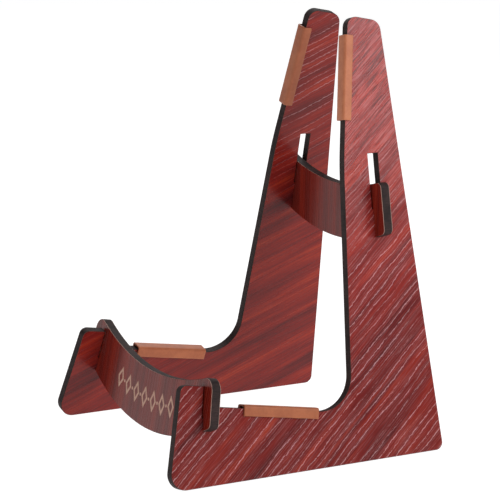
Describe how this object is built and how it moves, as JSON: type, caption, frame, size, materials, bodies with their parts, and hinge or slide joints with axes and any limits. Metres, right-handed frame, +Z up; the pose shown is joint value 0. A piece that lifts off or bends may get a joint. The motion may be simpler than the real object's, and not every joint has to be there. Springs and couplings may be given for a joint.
{
  "type": "instrument floor stand",
  "caption": "Knock-down floor stand for a guitar: leaning L-shaped side panels joined by slotted cross boards, with leather pads where the instrument rests.",
  "frame": {"origin": "on the ground, in the middle of the stand's box across and in depth", "axes": "+X to the right-hand side panel, +Y to the back where the uprights stand, +Z up; the instrument faces -Y"},
  "size_m": [0.2558, 0.281, 0.3971],
  "materials": {
    "charred_core": "charred, matt black cut edge",
    "red_grain_laminate": "semi-gloss embossed wood-grain laminate, red with dark bands",
    "tan_leather": "smooth tan leather, slightly rounded edges",
    "pad_tape": "black foam tape"
  },
  "bodies": {
    "left_side": {"left_side_core": "charred_core", "left_side_inner_face": "red_grain_laminate", "left_side_outer_face": "red_grain_laminate", "left_arm_pad": "tan_leather", "left_arm_tape": "pad_tape", "left_back_pad": "tan_leather", "left_back_tape": "pad_tape"},
    "right_side": {"right_side_core": "charred_core", "right_side_inner_face": "red_grain_laminate", "right_side_outer_face": "red_grain_laminate", "right_arm_pad": "tan_leather", "right_arm_tape": "pad_tape", "right_back_pad": "tan_leather", "right_back_tape": "pad_tape"},
    "lower_board": {"lower_board_core": "charred_core", "lower_board_front_face": "red_grain_laminate", "lower_board_back_face": "red_grain_laminate"},
    "upper_board": {"upper_board_core": "charred_core", "upper_board_front_face": "red_grain_laminate", "upper_board_back_face": "red_grain_laminate"}
  },
  "joints": [
    {"name": "lower_board_lift", "type": "slide", "parent": "left_side", "child": "lower_board", "axis": [0.2167, 0.1695, 0.9614], "range_m": [0, 0.02841]},
    {"name": "upper_board_lift", "type": "slide", "parent": "left_side", "child": "upper_board", "axis": [0.2198, 0, 0.9755], "range_m": [0, 0.0281]},
    {"name": "right_side_spread", "type": "slide", "parent": "left_side", "child": "right_side", "axis": [1, 0, 0], "range_m": [0, 0.0126]}
  ],
  "couplings": [
    {"joint": "upper_board_lift", "follows": "lower_board_lift", "ratio": 0.98553},
    {"joint": "right_side_spread", "follows": "lower_board_lift", "ratio": 0.43333}
  ]
}
